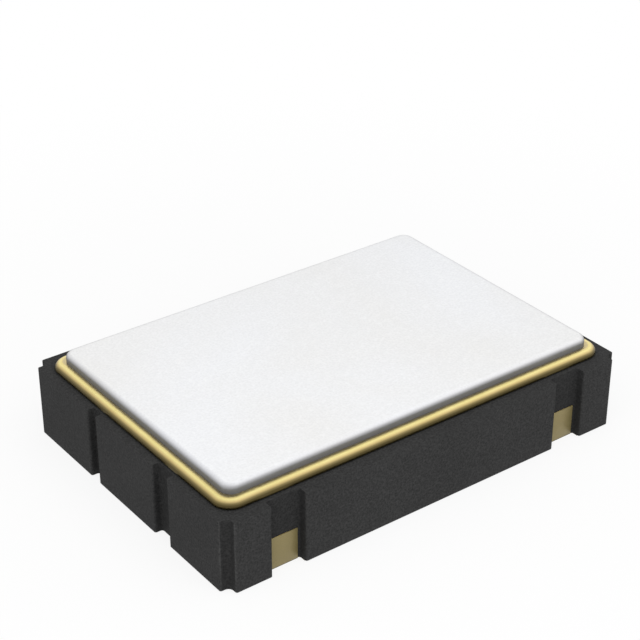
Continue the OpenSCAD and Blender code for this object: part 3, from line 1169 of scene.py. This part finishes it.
    def build(self, dresser: Dresser) -> None:
        """Builds and dresses the wires and their pads.

        Args:
            dresser: finishes the pieces.
        """
        tree = self.wire_tree(dresser.materials[Slot.WIRE])
        box = NodeBox.of("die_bond_pads")
        places = []
        for wire in self.wires:
            first, last = self.ends(wire)
            places.append(Vector((first.x, first.y, box.centre.z)))
            piece = self.grow(f"gold_{wire}", [first], tree, {
                "Start": tuple(first), "End": tuple(last), "Rise": self.rise,
                "Wire Radius": self.wire_d / 2, "Ball Radius": self.ball_d / 2,
                "Ball Height": self.ball_t, "Steps": self.steps})
            dresser.dress(piece, Slot.WIRE, wire)
        size = (self.pad, self.pad, box.high.z - box.low.z)
        pads = self.grow("chip_bond_pads", places,
                         self.pad_tree(dresser.materials[Slot.BOND_PAD]), {"Size": size},
                         smooth=False)
        dresser.dress(pads, Slot.BOND_PAD, "die_bond_pads")


@dataclass
class SealedPieces:
    """The pieces in the cavity whose CAD shape is kept."""

    kept: dict[Slot, tuple[str, ...]] = field(default_factory=lambda: {
        Slot.TRACE: ("enable_trace", "ground_trace", "output_trace", "supply_trace",
                     "crystal_trace_a", "crystal_trace_b", "die_pad"),
        Slot.BRAZE: ("ring_braze",),
        Slot.ADHESIVE: ("die_epoxy", "crystal_adhesive_a", "crystal_adhesive_b"),
        Slot.SILICON: ("oscillator_die",),
        Slot.QUARTZ: ("crystal_blank",),
        Slot.ELECTRODE: ("top_electrode", "bottom_electrode")})

    def build(self, dresser: Dresser) -> None:
        """Dresses the kept nodes.

        Args:
            dresser: finishes the nodes.
        """
        for slot, nodes in self.kept.items():
            for node in nodes:
                dresser.keep(node, slot)


# ---- The studio ----


def aimed(place: Vector) -> Euler:
    """Returns the turn of a lamp or camera that looks from a place at the origin."""
    return (-place).to_track_quat("-Z", "Y").to_euler()


@dataclass(frozen=True)
class Lamp:
    """One soft square lamp, which is aimed at the origin."""

    place_mm: Point
    size_mm: float
    power: float
    mirrored: bool = True

    def hang(self, name: str) -> None:
        """Adds the lamp to the scene.

        Args:
            name: the lamp's name.
        """
        data = bpy.data.lights.new(name, "AREA")
        data.size, data.energy = self.size_mm * MM, self.power
        lamp = add_object(name, data)
        place = Vector(self.place_mm)
        lamp.location = place * MM
        lamp.rotation_euler = aimed(place)
        lamp.visible_glossy = self.mirrored


@dataclass
class Studio:
    """The floor, the light and the camera."""

    camera_mm: Point = (-12.985, -17.184, 14.059)
    azimuth: float = -36.79
    elevation: float = 29.66
    lens: float = 96.62
    sensor: float = 36.0
    clip_m: tuple[float, float] = (0.0005, 2.0)
    floor_mm: float = 400.0
    floor_drop: float = 0.004
    shaded_share: float = 0.84
    shaded_mm: tuple[float, float] = (3.0, 14.0)
    world_strength: float = 0.5
    lamps: tuple[Lamp, ...] = (
        Lamp((-16.0, -26.0, 28.0), size_mm=90.0, power=0.024, mirrored=False),
        Lamp((24.0, -24.0, 32.0), size_mm=60.0, power=0.0026))

    def world(self) -> None:
        """Makes the even light and the white backdrop."""
        world = bpy.data.worlds.new("studio")
        world.use_nodes = True
        bpy.context.scene.world = world
        tree = Tree(world.node_tree)
        strength = tree.span(self._seen(tree), target=(self.world_strength, 1.0))
        tree.fill(world.node_tree.nodes["Background"], {"Color": WHITE, "Strength": strength})

    @staticmethod
    def _seen(tree: Tree) -> Socket:
        """Says whether the camera sees this, straight or in metal or glass.

        Args:
            tree: the tree to add to.

        Returns:
            1 for such a ray and 0 for others.
        """
        path = tree.add("ShaderNodeLightPath").outputs
        direct = tree.math("ADD", path["Is Camera Ray"], path["Is Glossy Ray"])
        return tree.math("ADD", direct, path["Is Transmission Ray"], clamp=True)

    def floor(self) -> None:
        """Makes the pale floor, which is open from below."""
        half = self.floor_mm / 2 * MM
        mesh = bpy.data.meshes.new("floor")
        mesh.from_pydata([(x, y, -self.floor_drop * MM) for x, y in
                          ((-half, -half), (half, -half), (half, half), (-half, half))],
                         [], [(0, 1, 2, 3)])
        piece = add_object("floor", mesh)
        material, tree, plain = new_material("floor")
        tree.fill(plain, {"Base Color": WHITE, "Roughness": 1.0, "Specular IOR Level": 0.0})
        glow = tree.first("ShaderNodeEmission", {"Color": WHITE, "Strength": 1.0})
        away = tree.add("ShaderNodeVectorMath", {0: tree.place()}, operation="LENGTH")
        white = tree.span(away.outputs["Value"], [length * MM for length in self.shaded_mm],
                          (self.shaded_share, 1.0), interpolation_type="SMOOTHSTEP")
        share = tree.math("MULTIPLY", self._seen(tree), white)
        lit = tree.first("ShaderNodeMixShader", {0: share, 1: plain.outputs[0], 2: glow})
        under = tree.first("ShaderNodeMixShader", {
            0: tree.add("ShaderNodeNewGeometry").outputs["Backfacing"], 1: lit,
            2: tree.first("ShaderNodeBsdfTransparent")})
        tree.fill(material.node_tree.nodes["Material Output"], {"Surface": under})
        piece.data.materials.append(material)
        # The underside is lit by the world, not by the shaded floor right below it.
        piece.visible_diffuse = False

    def lights(self) -> None:
        """Hangs the soft lamps."""
        for number, lamp in enumerate(self.lamps):
            lamp.hang(f"softbox_{number}")

    def camera(self) -> None:
        """Stands the camera."""
        data = bpy.data.cameras.new("camera")
        data.sensor_width, data.lens = self.sensor, self.lens
        data.clip_start, data.clip_end = self.clip_m
        camera = add_object("camera", data)
        turn, lift = math.radians(self.azimuth), math.radians(self.elevation)
        back = Vector((math.sin(turn) * math.cos(lift), -math.cos(turn) * math.cos(lift),
                       math.sin(lift)))
        camera.location = Vector(self.camera_mm) * MM
        camera.rotation_euler = aimed(back)
        bpy.context.scene.camera = camera

    def build(self) -> None:
        """Sets up the whole studio."""
        bpy.context.scene.view_settings.view_transform = "Standard"
        self.world()
        self.floor()
        self.lights()
        self.camera()


def main() -> None:
    """Builds the part piece by piece and logs each piece as it is dressed."""
    logging.basicConfig(level=logging.INFO, format="%(name)s: %(message)s")
    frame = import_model()
    body = NodeBox.of("ceramic_base")
    effects = SurfaceEffects(body.half.x, body.half.y)
    listed = finishes(NodeBox.of("seal_ring"), NodeBox.of("lid"), body.low.z)
    materials = {finish.slot: finish.build(effects) for finish in listed}
    dresser = Dresser(frame["nodes"], materials)
    Studio().build()
    for piece in (CeramicBody(), SolderPads(), SealRing(), Lid(), SealedPieces(), BondWires()):
        piece.build(dresser)


if __name__ == "__main__":
    main()
